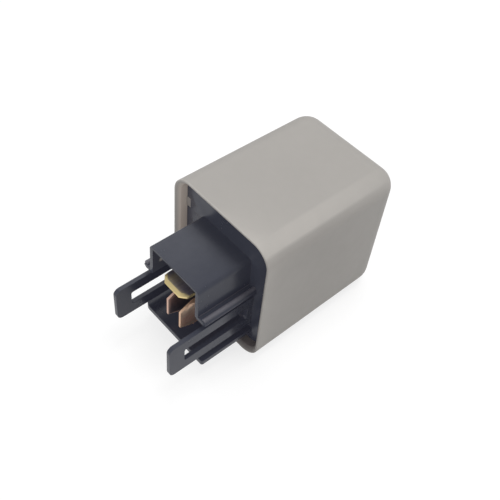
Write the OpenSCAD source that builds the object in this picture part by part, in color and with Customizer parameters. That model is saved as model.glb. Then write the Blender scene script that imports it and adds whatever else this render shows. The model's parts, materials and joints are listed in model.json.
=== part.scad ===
// Plug-in automotive relay with three blade terminals, lying on one side of its cover.
// X runs across the cover, Y from the connector to the closed end, Z up.
// The origin is under the middle of the whole part, on the surface that it lies on.

/* [Cover] */
// Width across the open end of the cover
cover_w = 23.1; // [22:0.1:27]
// Height at the open end of the cover
cover_h = 28; // [27:0.1:32]
// Length from the open end to the closed end
cover_l = 30.3; // [27:0.1:40]
// Thickness of the cover wall
cover_wall = 1; // [0.8:0.05:1.3]
// Radius of the long edges, and nearly that of the closed end
cover_corner_r = 3.9; // [3:0.1:4.5]
// How far each side leans in by the closed end
cover_draft = 0.2; // [0.05:0.05:0.4]
// Lead-in chamfer inside the open end
mouth_chamfer = 0.65; // [0.2:0.05:0.75]
// Width of the guide ribs inside the two side walls
rib_w = 2; // [1.2:0.1:3]
// How far the guide ribs stand off the wall
rib_h = 1; // [0.6:0.05:1.4]
// Height of the guide ribs above and below the middle
rib_rise = 6.9; // [4:0.1:8]
// Width of the stop ribs that the base seats on
stop_rib_w = 1.2; // [0.8:0.1:2]
// Distance between the two stop ribs of one wall
stop_rib_pitch = 12; // [8:0.5:13]

/* [Base] */
// Depth of the base face behind the open end
base_recess = 1.9; // [1:0.1:3]
// Thickness of the base floor
base_t = 3; // [2.6:0.1:4]
// Clearance between the base and the cover all round
base_gap = 0.12; // [0.05:0.01:0.2]
// Width of the snap lugs on the base edge
lug_w = 3; // [2:0.1:4]
// Height of the snap lugs above the base edge
lug_h = 0.4; // [0.2:0.05:0.5]

/* [Connector hood] */
// Outer width of the hood at its top
hood_w = 12.4; // [11.4:0.1:12.6]
// How far the middle of the hood stands to the right of the cover's middle
hood_shift = -0.15; // [-0.25:0.05:0.2]
// How far each side wall leans out by its foot
hood_lean = 0.1; // [0.02:0.02:0.2]
// Height of the hood top above the middle of the cover
hood_rise = 7; // [6:0.1:9]
// Height of the side wall feet above the middle of the cover
hood_foot = 0.05; // [0:0.05:0.6]
// Thickness of the hood's side walls
hood_wall = 0.8; // [0.6:0.05:1.1]
// Thickness of the hood's roof
hood_roof = 0.6; // [0.5:0.05:0.9]
// How far the hood reaches out in front of the cover
hood_reach = 8.9; // [7:0.1:11]
// Radius of the two long top edges of the hood
hood_edge_r = 0.9; // [0.4:0.05:1.1]
// Width across the flanges at the feet of the hood
flange_w = 16.1; // [14:0.1:17]
// Thickness of a flange at its tip
flange_tip = 0.95; // [0.85:0.05:1.2]
// Thickness of a flange at its root
flange_root = 0.75; // [0.6:0.05:1.2]
// Size of the chamfer on the upper outer edge of a flange
flange_edge = 0.3; // [0.1:0.05:0.4]

/* [Bottom plate] */
// Width of the plate under the terminals
plate_w = 16.1; // [13:0.1:18]
// Thickness of the plate
plate_t = 1; // [0.7:0.05:1.4]
// Depth of the plate's lower face below the middle of the cover
plate_drop = 10.5; // [10.2:0.1:12]
// How far the plate reaches out in front of the cover
plate_reach = 9.3; // [7:0.1:12]
// Radius of the plate's left front corner
plate_left_r = 1.5; // [0.8:0.1:2.4]
// Radius of the plate's right front corner
plate_right_r = 0.4; // [0.2:0.1:0.8]

/* [Locking arms] */
// Width across the outer faces of the two arms
arm_span = 15.2; // [14.4:0.1:17]
// Thickness of an arm
arm_t = 0.8; // [0.6:0.05:1]
// Height of an arm
arm_h = 7.4; // [6.6:0.1:7.6]
// Depth of the arm's middle below the middle of the cover
arm_drop = 4.7; // [4.4:0.05:4.9]
// How far the arms reach out in front of the cover
arm_reach = 15.6; // [13:0.1:18]
// Radius of the arm's front corners
arm_corner_r = 1.1; // [0.4:0.1:2]
// Height of the catch slot in an arm
arm_slot_h = 3; // [2:0.1:3.6]
// Solid length of the arm in front of its slot
arm_nose = 3; // [2:0.1:4]

/* [Terminal blades] */
// Width of each blade
blade_w = 5.9; // [5.6:0.1:6.4]
// Thickness of each blade
blade_t = 0.8; // [0.6:0.05:1]
// Length of the level blade's narrowed tip
supply_tip_l = 0.9; // [0.6:0.1:1.4]
// How much the level blade's tip narrows at each edge
supply_tip_cut = 1.1; // [0.6:0.1:1.6]
// Length of the upright blades' narrowed tips
upright_tip_l = 1.9; // [1.2:0.1:2.4]
// How much the upright blades' tips narrow at each edge
upright_tip_cut = 0.9; // [0.5:0.1:1.3]
// Depth of the bevel on each flat of a tip
tip_bevel = 0.2; // [0.1:0.05:0.25]
// Length of the bevel on each flat of a tip
tip_bevel_l = 0.6; // [0.4:0.05:0.8]
// Height of the level blade above the middle of the cover
supply_rise = 1.9; // [1.6:0.1:3]
// How far the level blade reaches out in front of the cover
supply_reach = 9.3; // [7.5:0.1:10.5]
// Depth of the upright blades' middle below the middle of the cover
upright_drop = 5; // [4.9:0.05:5.4]
// Distance between the two upright blades
upright_pitch = 3.3; // [2.8:0.1:4]
// How much higher the left upright blade sits than the right one
left_blade_rise = 0.25; // [0:0.05:0.4]
// How far the middle of the blades stands to the right of the cover's middle
blade_shift = -0.15; // [-0.25:0.05:0.2]
// How far the upright blades reach out in front of the cover
upright_reach = 8.9; // [7.5:0.1:10.5]
// Clearance between a blade and its opening in the base
blade_fit = 0.03; // [0.01:0.01:0.08]

/* [Coil] */
// Radius of the bobbin flanges
flange_r = 5.9; // [5.5:0.1:6.1]
// Thickness of the bobbin flanges
flange_t = 0.8; // [0.6:0.1:1.2]
// Radius of the winding
winding_r = 5.2; // [4.6:0.1:5.3]
// Thickness of the tape round the winding
tape_t = 0.12; // [0.08:0.02:0.2]
// Radius of the iron core
core_r = 2.6; // [2:0.1:3]
// Wall of the bobbin tube
tube_wall = 0.6; // [0.4:0.05:0.9]
// Radius of the pole head
pole_r = 4.2; // [3.4:0.1:4.8]
// Thickness of the pole head
pole_t = 1; // [0.8:0.1:1.4]
// Width of the square coil pins
pin_w = 0.7; // [0.5:0.05:0.8]
// Distance of each coil pin from the middle
pin_x = 4.6; // [4:0.1:4.8]
// Length of a coil pin behind the yoke
pin_l = 5.1; // [4.8:0.1:6]
// Radius of the resistor's end caps
resistor_r = 0.9; // [0.7:0.05:1]
// Length of the resistor's body
resistor_l = 6.2; // [4:0.1:7]

/* [Yoke and armature] */
// Thickness of the yoke
yoke_t = 1.5; // [1.2:0.1:1.8]
// Width of the yoke
yoke_w = 11; // [10:0.1:12.5]
// Room between the yoke and the cover above it
top_room = 1.35; // [1.2:0.05:2]
// Room between the pole face and the closed end
end_room = 5; // [4.8:0.1:7]
// Thickness of the armature
armature_t = 1.3; // [1:0.1:1.5]
// Width of the armature at its free end
armature_tip_w = 8.6; // [6:0.1:10]
// Height of the armature's full width, below the hinge
armature_shoulder = 4; // [3:0.1:5]
// How far the armature reaches below the pole head
armature_overlap = 1.2; // [0.6:0.1:1.6]
// Angle that the armature swings to close, in degrees
armature_swing = 3.5; // [2.5:0.1:4]

/* [Rivets] */
// Radius of the rivet shanks
rivet_r = 0.6; // [0.4:0.05:0.8]
// Radius of the rivet heads
rivet_head_r = 1; // [0.9:0.05:1.3]
// Height of the rivet heads
rivet_head_h = 0.35; // [0.2:0.05:0.5]
// Distance of each rivet from the middle
rivet_x = 2; // [1.6:0.1:2.3]
// Distance of the yoke rivets behind the pole face
yoke_rivet_back = 4; // [3:0.1:6]
// Distance of the armature rivets below the hinge
armature_rivet_drop = 4.6; // [3:0.1:5.6]

/* [Contacts] */
// Thickness of the contact spring
spring_t = 0.25; // [0.15:0.05:0.35]
// Width of the contact spring on the armature
spring_w = 7; // [6:0.1:8]
// Width of the contact spring at its contact
spring_tip_w = 4.4; // [4:0.1:6]
// Inner radius of the spring's bend over the hinge
spring_bend_r = 0.6; // [0.4:0.05:0.8]
// Radius of the contacts
contact_r = 1.6; // [1.2:0.1:1.8]
// Height of the contact faces
contact_h = 0.7; // [0.5:0.05:0.9]

/* [Hidden] */
$fn = 48;

// Overshoot of a cut past the face it opens
cut = 0.2;

// Rim plane of the cover, and the middle of the cover's height
rim_y = (arm_reach - cover_l) / 2;
mid_z = cover_h / 2;

// Axes of the four long cover edges, and the centre plane of the rounded closed end
corner_x = cover_w / 2 - cover_corner_r;
corner_z = cover_h / 2 - cover_corner_r;
end_r = cover_corner_r - cover_draft;
end_y = cover_l - end_r;

// Base floor, from its face to its back
base_y = base_recess;
back_y = base_y + base_t;
base_r = cover_corner_r - cover_wall - cover_draft * back_y / end_y - base_gap;
inner_half_w = cover_w / 2 - cover_wall;
inner_half_h = cover_h / 2 - cover_wall;

// Blade places
supply_z = mid_z + supply_rise;
upright_z = mid_z - upright_drop;
load_x = blade_shift + upright_pitch / 2;
ground_x = blade_shift - upright_pitch / 2;

// Heights in the connector
plate_top_z = mid_z - plate_drop + plate_t;
foot_z = mid_z + hood_foot;
arm_z = mid_z - arm_drop;
arm_x = arm_span / 2 - arm_t;

// Magnet frame
yoke_top_z = cover_h - cover_wall - top_room;
flange_gap = 0.3;
core_gap = 0.03;
coil_z = yoke_top_z - yoke_t - flange_gap - flange_r;
yoke_foot_z = coil_z - yoke_w / 2;
pole_y = cover_l - cover_wall - end_room;
bobbin_y = back_y + yoke_t;
bobbin_end_y = pole_y - pole_t;
tube_r = core_r + core_gap + tube_wall;
tape_r = winding_r + tape_t;
shank_r = core_r * 0.7;
post_r = 0.8;
post_x = yoke_w / 2 - 1.6;
post_z = yoke_top_z - 3.2;
yoke_rivet_y = pole_y - yoke_rivet_back;
rivet_fit = 0.02;

// Armature, drawn upright in its own frame and then leaned back by its rest angle
hinge_gap = 0.03;
rest_angle = armature_swing + 0.2;
hinge_y = pole_y + hinge_gap;
hinge_z = yoke_top_z;

// Strips behind the base
strip_gap = 0.3;
tail_h = 3;
tail_z = upright_z - blade_w / 2;
contact_z = tail_z + contact_r;
contact_drop = hinge_z - contact_z;
leaf_y = armature_t + hinge_gap;
fixed_face_y = pole_y + hinge_gap + leaf_y - contact_h;
tab_y = fixed_face_y - contact_h - blade_t;
tab_half = contact_r + 0.4;
back_head = 0.4;
back_head_r = contact_r * 0.45;
contact_shank_r = contact_r * 0.35;

// Coil pins below the winding, with the resistor between them
pin_z = coil_z - tape_r - 0.6 - resistor_r;
pin_end_y = bobbin_y + pin_l;
block_l = pin_l - 2.7;
wire_r = 0.15;
wrap_r = pin_w * 0.71 + wire_r + 0.01;
wrap_y = bobbin_y + block_l + 0.5;
lead_top_z = coil_z - sqrt(tape_r * tape_r - pin_x * pin_x) - wire_r;
ground_h = 2;

// Stop strip along the floor of the cover
stop_x = -5;
stop_foot = 2;
stop_z = cover_wall + top_room;
stop_h = tail_z - strip_gap - stop_z;
stop_y = hinge_y + (leaf_y + spring_t + back_head) * cos(rest_angle)
    + contact_drop * sin(rest_angle) + 0.1;
bend_r = 0.4;

// Extrusions of a flat shape along X and Y
module along_x(from, to) {
    translate([from, 0, 0]) rotate([90, 0, 90]) linear_extrude(to - from) children();
}

module along_y(from, to) {
    translate([0, to, 0]) rotate([90, 0, 0]) linear_extrude(to - from) children();
}

// Round bar along Y, straight or tapering
module bar_y(r, from, to, r_end = -1) {
    translate([0, from, 0]) rotate([-90, 0, 0])
        cylinder(h = to - from, r1 = r, r2 = r_end < 0 ? r : r_end);
}

// Block between two corners
module block(low, high) {
    translate(low) cube(high - low);
}

// Rectangle between two corners with its corners rounded
module rounded_rect(low, high, r) {
    translate(low + [r, 0]) square([high[0] - low[0] - 2 * r, high[1] - low[1]]);
    translate(low + [0, r]) square([high[0] - low[0], high[1] - low[1] - 2 * r]);
    for (x = [low[0] + r, high[0] - r], y = [low[1] + r, high[1] - r])
        translate([x, y]) circle(r);
}

// Everything is drawn from the rim plane and then moved to the part's origin
module placed() {
    translate([0, rim_y, 0]) children();
}

// Four long rounded edges and the flats between them, leaning in from r0 to r1
module leaning_tube(r0, r1, from, to) {
    for (sx = [-1, 1], sz = [-1, 1])
        translate([sx * corner_x, 0, mid_z + sz * corner_z]) bar_y(r0, from, to, r1);
    along_x(-corner_x, corner_x) translate([0, mid_z]) polygon([
        [from, -corner_z - r0], [to, -corner_z - r1], [to, corner_z + r1], [from, corner_z + r0]]);
    translate([0, 0, mid_z - corner_z]) linear_extrude(2 * corner_z) polygon([
        [-corner_x - r0, from], [corner_x + r0, from], [corner_x + r1, to], [-corner_x - r1, to]]);
}

// Leaning box whose closed end is rounded all round
module closed_box(inset) {
    r0 = cover_corner_r - inset;
    r1 = end_r - inset;
    leaning_tube(r0, r1, 0, end_y);
    for (sx = [-1, 1], sz = [-1, 1])
        translate([sx * corner_x, end_y, mid_z + sz * corner_z]) sphere(r1);
    for (sz = [-1, 1])
        along_x(-corner_x, corner_x) translate([end_y, mid_z + sz * corner_z]) circle(r1);
    for (sx = [-1, 1])
        translate([sx * corner_x, end_y, mid_z - corner_z]) cylinder(h = 2 * corner_z, r = r1);
    block([-corner_x, end_y - 1, mid_z - corner_z], [corner_x, end_y + r1, mid_z + corner_z]);
}

module cover() {
    mouth_r = cover_corner_r - cover_wall + mouth_chamfer;
    color([0.69, 0.675, 0.655]) placed() difference() {
        closed_box(0);
        difference() {
            closed_box(cover_wall);
            guide_ribs();
            stop_ribs();
        }
        leaning_tube(mouth_r + cut, mouth_r - mouth_chamfer, -cut, mouth_chamfer);
        lug_pockets();
    }
}

// Ribs that run back from the base notches along both side walls, left standing in the cavity
module guide_ribs() {
    for (sx = [-1, 1], sz = [-1, 1])
        translate([sx * inner_half_w, 0, mid_z + sz * rib_rise])
            block([-rib_h, base_y + 0.4, -rib_w / 2], [rib_h, end_y - 4, rib_w / 2]);
}

// Short ribs on the top and bottom walls that the back of the base seats on
module stop_ribs() {
    for (sx = [-1, 1], sz = [-1, 1])
        translate([sx * stop_rib_pitch / 2, 0, mid_z + sz * inner_half_h])
            block([-stop_rib_w / 2, back_y, -0.7], [stop_rib_w / 2, back_y + 4, 0.7]);
}

// Shallow pockets that the snap lugs of the base drop into
module lug_pockets() {
    for (sz = [-1, 1])
        translate([0, base_y + base_t / 2, mid_z + sz * (inner_half_h + 0.05)])
            block([-lug_w / 2 - 0.1, -0.8, -0.4], [lug_w / 2 + 0.1, 0.8, 0.4]);
}

module base() {
    color([0.17, 0.17, 0.18]) placed() difference() {
        union() {
            base_floor();
            hood();
            bottom_plate();
            for (side = [0, 1]) mirror([side, 0, 0]) locking_arm();
            snap_lugs();
            yoke_posts();
        }
        rib_notches();
        blade_openings();
    }
}

// Rounded floor that closes the mouth of the cover
module base_floor() {
    along_y(base_y, back_y) rounded_rect(
        [-corner_x - base_r, mid_z - corner_z - base_r],
        [corner_x + base_r, mid_z + corner_z + base_r], base_r);
}

// Notches in the side edges of the floor for the guide ribs
module rib_notches() {
    for (sx = [-1, 1], sz = [-1, 1])
        translate([sx * inner_half_w, 0, mid_z + sz * rib_rise])
            block([-rib_h - base_gap, base_y - cut, -rib_w / 2 - base_gap],
                [rib_h, back_y + cut, rib_w / 2 + base_gap]);
}

// Openings for the three blades, the seat of the level terminal's foot and of the stop strip
module blade_openings() {
    half_w = blade_w / 2 + blade_fit;
    half_t = blade_t / 2 + blade_fit;
    translate([blade_shift, 0, supply_z])
        block([-half_w, base_y - cut, -half_t], [half_w, back_y + cut, half_t]);
    for (place = [[load_x, 0, upright_z], [ground_x, 0, upright_z + left_blade_rise]])
        translate(place) block([-half_t, base_y - cut, -half_w], [half_t, back_y + cut, half_w]);
    along_y(back_y - blade_t - blade_fit, back_y + cut) supply_foot_outline(blade_fit);
    block([stop_x - half_t, back_y - stop_foot - blade_fit, stop_z - blade_fit],
        [stop_x + half_t, back_y + cut, stop_z + stop_h + blade_fit]);
}

// Inverted trough over the blades with a flange at the foot of each side wall
module hood() {
    along_y(-hood_reach, base_y + 0.5)
        for (side = [0, 1]) mirror([side, 0, 0]) hood_half(hood_w / 2 + (1 - 2 * side) * hood_shift);
}

// Outline of the hood from its middle to one side: the wall leans, and its top corner is round
module hood_half(half) {
    top_z = mid_z + hood_rise;
    height = hood_rise - hood_foot;
    angle = atan2(hood_lean, height);
    round_x = half + hood_edge_r * tan(angle) - hood_edge_r / cos(angle);
    round_z = top_z - hood_edge_r;
    inner = half - hood_wall;
    corner = 0.4;
    difference() {
        union() {
            polygon([[-1, foot_z], [half + hood_lean, foot_z],
                [round_x + hood_edge_r * cos(angle), round_z + hood_edge_r * sin(angle)],
                [round_x, round_z], [round_x, top_z], [-1, top_z]]);
            translate([round_x, round_z]) circle(hood_edge_r);
            flange_outline(half, corner);
        }
        polygon([[-2, top_z - hood_roof], [inner + hood_lean * hood_roof / height, top_z - hood_roof],
            [inner + hood_lean, foot_z + corner], [inner + hood_lean + corner, foot_z],
            [inner + hood_lean + corner, foot_z - 1], [-2, foot_z - 1]]);
    }
}

// Outline of one flange, thicker at its tip, with both outer corners chamfered
module flange_outline(half, corner) {
    tip = flange_w / 2;
    polygon([[half - hood_wall / 2, foot_z], [tip - corner, foot_z], [tip, foot_z + corner],
        [tip, foot_z + flange_tip - flange_edge], [tip - flange_edge, foot_z + flange_tip],
        [half, foot_z + flange_root], [half - hood_wall / 2, foot_z + flange_root]]);
}

// Flat tongue under the upright blades
module bottom_plate() {
    half = plate_w / 2;
    front = -plate_reach;
    back = base_y + 1.5;
    wide = front + plate_left_r + plate_right_r;
    translate([0, 0, plate_top_z - plate_t]) linear_extrude(plate_t) {
        translate([-half, wide]) square([plate_w, back - wide]);
        translate([plate_left_r - half, front])
            square([plate_w - plate_left_r - plate_right_r, back - front]);
        translate([0, front + plate_right_r]) square([half, back - front - plate_right_r]);
        translate([-half, front + plate_left_r]) square([half, back - front - plate_left_r]);
        translate([plate_left_r - half, front + plate_left_r]) circle(plate_left_r);
        translate([half - plate_right_r, front + plate_right_r]) circle(plate_right_r);
    }
}

// Thin upright arm with a long slot that catches the mating housing
module locking_arm() {
    low_z = arm_z - arm_h / 2;
    along_x(arm_x, arm_x + arm_t) difference() {
        rounded_rect([-arm_reach, low_z], [base_y + 1.5, low_z + arm_h], arm_corner_r);
        rounded_rect([-arm_reach + arm_nose, arm_z - arm_slot_h / 2],
            [base_y - 1.2, arm_z + arm_slot_h / 2], 0.4);
    }
}

// Wedges on the top and bottom edges of the floor that snap into the cover
module snap_lugs() {
    edge = corner_z + base_r;
    for (sz = [0, 1])
        translate([0, 0, mid_z]) mirror([0, 0, sz]) along_x(-lug_w / 2, lug_w / 2)
            polygon([[base_y + base_t / 2 - 0.6, edge - 0.3], [base_y + base_t / 2 + 0.6, edge - 0.3],
                [base_y + base_t / 2 + 0.6, edge], [base_y + base_t / 2 - 0.2, edge + lug_h],
                [base_y + base_t / 2 - 0.6, edge + lug_h]]);
}

// Two posts that locate the yoke on the back of the floor
module yoke_posts() {
    for (sx = [-1, 1])
        translate([sx * post_x, 0, post_z]) bar_y(post_r, back_y - 0.5, back_y + yoke_t - 0.1);
}

// Blade along -Y with its flats facing up, narrowed at its tip and bevelled round it
module blade(reach, root, tip_l, tip_cut) {
    half_w = blade_w / 2;
    half_t = blade_t / 2;
    slant = atan2(tip_l, tip_cut);
    slant_l = sqrt(tip_l * tip_l + tip_cut * tip_cut);
    difference() {
        translate([0, 0, -half_t]) linear_extrude(blade_t) polygon([
            [-half_w, root], [-half_w, -reach + tip_l], [-half_w + tip_cut, -reach],
            [half_w - tip_cut, -reach], [half_w, -reach + tip_l], [half_w, root]]);
        for (flat = [0, 1]) mirror([0, 0, flat]) {
            translate([0, -reach, 0]) bevel_cut(-half_w, half_w);
            for (side = [0, 1]) mirror([side, 0, 0])
                translate([half_w - tip_cut, -reach, 0]) rotate([0, 0, slant])
                    bevel_cut(-tip_bevel_l, slant_l + tip_bevel_l);
        }
    }
}

// Wedge that bevels the upper edge of a blade along X
module bevel_cut(from, to) {
    half_t = blade_t / 2;
    along_x(from, to) polygon([
        [-tip_bevel_l / 2, half_t - tip_bevel * 1.5], [tip_bevel_l * 1.5, half_t + tip_bevel / 2],
        [-tip_bevel_l / 2, half_t + tip_bevel / 2]]);
}

// Foot of the level terminal: a pad under the yoke and a finger down to the coil pin
module supply_foot_outline(grow) {
    top_z = supply_z + blade_t / 2;
    grown_rect([blade_shift - blade_w / 2, upright_z + blade_w / 2 + 1],
        [blade_shift + blade_w / 2, top_z], grow);
    grown_rect([0, top_z - 2], [pin_x + 0.9, top_z], grow);
    grown_rect([pin_x - 1.2, pin_z - 0.9], [pin_x + 0.9, top_z], grow);
}

module grown_rect(low, high, grow) {
    translate(low - [grow, grow]) square(high - low + 2 * [grow, grow]);
}

module supply_terminal() {
    color([0.80, 0.67, 0.33]) placed() {
        translate([blade_shift, 0, supply_z])
            blade(supply_reach, back_y, supply_tip_l, supply_tip_cut);
        along_y(back_y - blade_t, back_y) supply_foot_outline(0);
    }
}

// Upright blade that runs back through the base
module upright_blade(x, z) {
    translate([x, 0, z]) rotate([0, 90, 0])
        blade(upright_reach, back_y, upright_tip_l, upright_tip_cut);
}

// Strip on edge along Y that turns across at its end, with a rounded bend
module bent_strip(x_out, x_in, from, to) {
    side = x_in > x_out ? 1 : -1;
    low = min(x_out, x_out + side * blade_t);
    translate([low, from]) square([blade_t, to - blade_t - bend_r - from]);
    translate([x_out + side * (blade_t + bend_r), to - blade_t - bend_r]) intersection() {
        difference() {
            circle(blade_t + bend_r);
            circle(bend_r);
        }
        translate([side > 0 ? -3 : 0, 0]) square([3, 3]);
    }
    start = x_out + side * (blade_t + bend_r);
    translate([min(start, x_in), to - blade_t]) square([abs(x_in - start), blade_t]);
}

module load_terminal() {
    color([0.78, 0.55, 0.42]) placed() difference() {
        union() {
            upright_blade(load_x, upright_z);
            translate([0, 0, tail_z]) linear_extrude(tail_h)
                bent_strip(load_x + blade_t / 2, -tab_half, back_y - 0.5, tab_y + blade_t);
        }
        translate([0, 0, contact_z])
            bar_y(contact_shank_r + rivet_fit, tab_y - 1, tab_y + 2);
    }
}

module ground_terminal() {
    color([0.78, 0.55, 0.42]) placed() {
        upright_blade(ground_x, upright_z + left_blade_rise);
        translate([0, 0, pin_z + 0.7 - ground_h]) linear_extrude(ground_h)
            bent_strip(ground_x + blade_t / 2, -pin_x - pin_w / 2, back_y - 0.5, bobbin_y);
    }
}

// L-shaped iron frame: a foot on the base and a leg over the coil
module yoke() {
    color([0.62, 0.63, 0.64]) placed() difference() {
        along_x(-yoke_w / 2, yoke_w / 2) {
            translate([back_y, yoke_foot_z]) square([yoke_t, yoke_top_z - 1 - yoke_foot_z]);
            translate([back_y + 1, yoke_top_z - yoke_t]) square([pole_y - back_y - 1, yoke_t]);
            translate([back_y + 1, yoke_top_z - 1]) circle(1);
        }
        translate([0, 0, coil_z]) bar_y(shank_r + rivet_fit, back_y - 1, bobbin_y + 1);
        for (sx = [-1, 1]) {
            translate([sx * post_x, 0, post_z]) bar_y(post_r + 0.05, back_y - 1, bobbin_y + 1);
            translate([sx * rivet_x, yoke_rivet_y, hinge_z - yoke_t - 1])
                cylinder(h = yoke_t + 2, r = rivet_r + rivet_fit);
        }
    }
}

module core() {
    color([0.70, 0.70, 0.70]) placed() translate([0, 0, coil_z]) {
        bar_y(shank_r, back_y, bobbin_y + 0.2);
        bar_y(core_r, bobbin_y, pole_y - pole_t / 2);
        bar_y(pole_r, pole_y - pole_t, pole_y);
    }
}

module bobbin() {
    foot_z_low = pin_z - 1;
    color([0.86, 0.84, 0.78]) placed() difference() {
        union() {
            translate([0, 0, coil_z]) {
                bar_y(tube_r, bobbin_y, bobbin_end_y);
                bar_y(flange_r, bobbin_y, bobbin_y + flange_t);
                bar_y(flange_r, bobbin_end_y - flange_t, bobbin_end_y);
            }
            block([-pin_x - 1, bobbin_y, foot_z_low],
                [pin_x + 1, bobbin_y + flange_t, coil_z - flange_r * 0.6]);
            block([-pin_x - 1, bobbin_y, foot_z_low],
                [pin_x + 1, bobbin_y + block_l, coil_z - tape_r - 0.25]);
        }
        translate([0, 0, coil_z]) bar_y(core_r + core_gap, bobbin_y - 1, bobbin_end_y + 1);
        for (sx = [-1, 1])
            translate([sx * pin_x, 0, pin_z]) block([-pin_w / 2, bobbin_y - 1, -pin_w / 2],
                [pin_w / 2, bobbin_y + block_l + 1, pin_w / 2]);
    }
}

module winding() {
    color([0.72, 0.40, 0.22]) placed() translate([0, 0, coil_z]) difference() {
        bar_y(winding_r, bobbin_y + flange_t, bobbin_end_y - flange_t);
        bar_y(tube_r, bobbin_y, bobbin_end_y);
    }
}

module winding_tape() {
    color([0.85, 0.70, 0.25]) placed() translate([0, 0, coil_z]) difference() {
        bar_y(tape_r, bobbin_y + flange_t, bobbin_end_y - flange_t);
        bar_y(winding_r, bobbin_y, bobbin_end_y);
    }
}

// Square pin held in the foot of the bobbin
module coil_pin(side, from) {
    color([0.80, 0.80, 0.78]) placed() translate([side * pin_x, 0, pin_z])
        block([-pin_w / 2, from, -pin_w / 2], [pin_w / 2, pin_end_y, pin_w / 2]);
}

// Wire from the winding down to a pin, ending in three turns round it
module coil_lead(side) {
    color([0.72, 0.40, 0.22]) placed() translate([side * pin_x, wrap_y, 0]) {
        translate([0, 0, pin_z + wrap_r])
            cylinder(h = lead_top_z - pin_z - wrap_r, r = wire_r);
        for (turn = [0:2])
            translate([0, turn * 2 * wire_r * 0.93, pin_z]) rotate([90, 0, 0])
                rotate_extrude() translate([wrap_r, 0]) circle(wire_r);
    }
}

// Resistor across the ends of the coil pins, with a cap at each end of its body
module suppression_resistor() {
    half = resistor_l / 2;
    cap = resistor_r * 1.6;
    neck_r = resistor_r * 0.85;
    lead_r = resistor_r / 3;
    side_y = pin_end_y - 2 * lead_r;
    color([0.80, 0.72, 0.56]) placed() translate([0, side_y, pin_z]) rotate([0, 90, 0])
        for (turn = [0, 180]) rotate([turn, 0, 0]) rotate_extrude() polygon([
            [0, 0], [neck_r, 0], [neck_r, half - cap], [resistor_r, half - cap + neck_r / 3],
            [resistor_r, half - resistor_r / 3], [resistor_r * 0.75, half], [lead_r, half],
            [lead_r, pin_x - pin_w / 2], [0, pin_x - pin_w / 2]]);
}

// Rivets that hold the spring on the yoke
module yoke_rivets() {
    color([0.74, 0.72, 0.68]) placed() for (sx = [-1, 1])
        translate([sx * rivet_x, yoke_rivet_y, hinge_z]) {
            translate([0, 0, -yoke_t]) cylinder(h = yoke_t + spring_t + 0.1, r = rivet_r);
            translate([0, 0, spring_t]) cylinder(h = rivet_head_h, r = rivet_head_r);
        }
}

// Steel strip whose bent end stops the spring when the contacts open
module stop_strip() {
    half_t = blade_t / 2;
    color([0.60, 0.61, 0.62]) placed() {
        translate([0, 0, stop_z]) linear_extrude(stop_h)
            bent_strip(stop_x - half_t, tab_half, back_y - stop_foot, stop_y + blade_t);
        block([-tab_half, stop_y, stop_z], [tab_half, stop_y + blade_t, contact_z + contact_r]);
    }
}

module fixed_contact() {
    color([0.86, 0.86, 0.84]) placed() translate([0, 0, contact_z]) {
        bar_y(contact_r, tab_y + blade_t, fixed_face_y);
        bar_y(contact_shank_r, tab_y - back_head / 2, tab_y + blade_t + 0.1);
        bar_y(back_head_r, tab_y - back_head, tab_y);
    }
}

// Frame of the armature: its origin on the hinge edge, its plate hanging down and leaning open
module leaned() {
    translate([0, hinge_y, hinge_z]) rotate([rest_angle, 0, 0]) children();
}

module armature() {
    length = hinge_z - coil_z + pole_r + armature_overlap;
    top = -0.05;
    slant = armature_t * 0.65;
    half = yoke_w / 2;
    tip = armature_tip_w / 2;
    neck = -armature_shoulder - 2 * (half - tip);
    color([0.62, 0.63, 0.64]) placed() leaned() difference() {
        intersection() {
            along_x(-yoke_w / 2 - 1, yoke_w / 2 + 1) polygon([
                [0, -length], [0, top], [armature_t - slant, top], [armature_t, top - slant],
                [armature_t, -length]]);
            along_y(-1, armature_t + 1) polygon([
                [-half, 0], [half, 0], [half, -armature_shoulder], [tip, neck],
                [tip, 1 - length], [tip - 1, -length], [1 - tip, -length], [-tip, 1 - length],
                [-tip, neck], [-half, -armature_shoulder]]);
        }
        armature_rivet_places() bar_y(rivet_r + rivet_fit, -1, armature_t + 1);
    }
}

module armature_rivet_places() {
    for (sx = [-1, 1]) translate([sx * rivet_x, 0, -armature_rivet_drop]) children();
}

// Rivets that hold the spring on the armature
module armature_rivets() {
    color([0.74, 0.72, 0.68]) placed() leaned() armature_rivet_places() {
        bar_y(rivet_r, 0.02, leaf_y + spring_t + 0.1);
        bar_y(rivet_head_r, leaf_y + spring_t, leaf_y + spring_t + rivet_head_h);
    }
}

// Leaf riveted on the yoke, bent over the hinge and running down to the moving contact
module contact_spring() {
    bend_y = hinge_y + (leaf_y - spring_bend_r * (1 - sin(rest_angle))) / cos(rest_angle);
    bend_z = hinge_z - spring_bend_r;
    leaf_top = -(bend_y - hinge_y) * sin(rest_angle) - spring_bend_r * cos(rest_angle);
    color([0.80, 0.58, 0.36]) placed() difference() {
        union() {
            block([-spring_w / 2, yoke_rivet_y - 2, hinge_z], [spring_w / 2, bend_y, hinge_z + spring_t]);
            along_x(-spring_w / 2, spring_w / 2) translate([bend_y, bend_z]) bend_outline();
            leaned() along_y(leaf_y, leaf_y + spring_t) leaf_outline(leaf_top + 0.02);
        }
        for (sx = [-1, 1])
            translate([sx * rivet_x, yoke_rivet_y, hinge_z - 1])
                cylinder(h = 3, r = rivet_r + rivet_fit);
        leaned() {
            armature_rivet_places() bar_y(rivet_r + rivet_fit, 0, 3);
            translate([0, 0, -contact_drop]) bar_y(contact_shank_r + rivet_fit, 0, 3);
        }
    }
}

// Part of a ring from straight up round to the leaf
module bend_outline() {
    reach = 3;
    intersection() {
        difference() {
            circle(spring_bend_r + spring_t);
            circle(spring_bend_r);
        }
        polygon([[0, 0], [reach * cos(rest_angle), reach * sin(rest_angle)], [reach, reach], [0, reach]]);
    }
}

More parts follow.
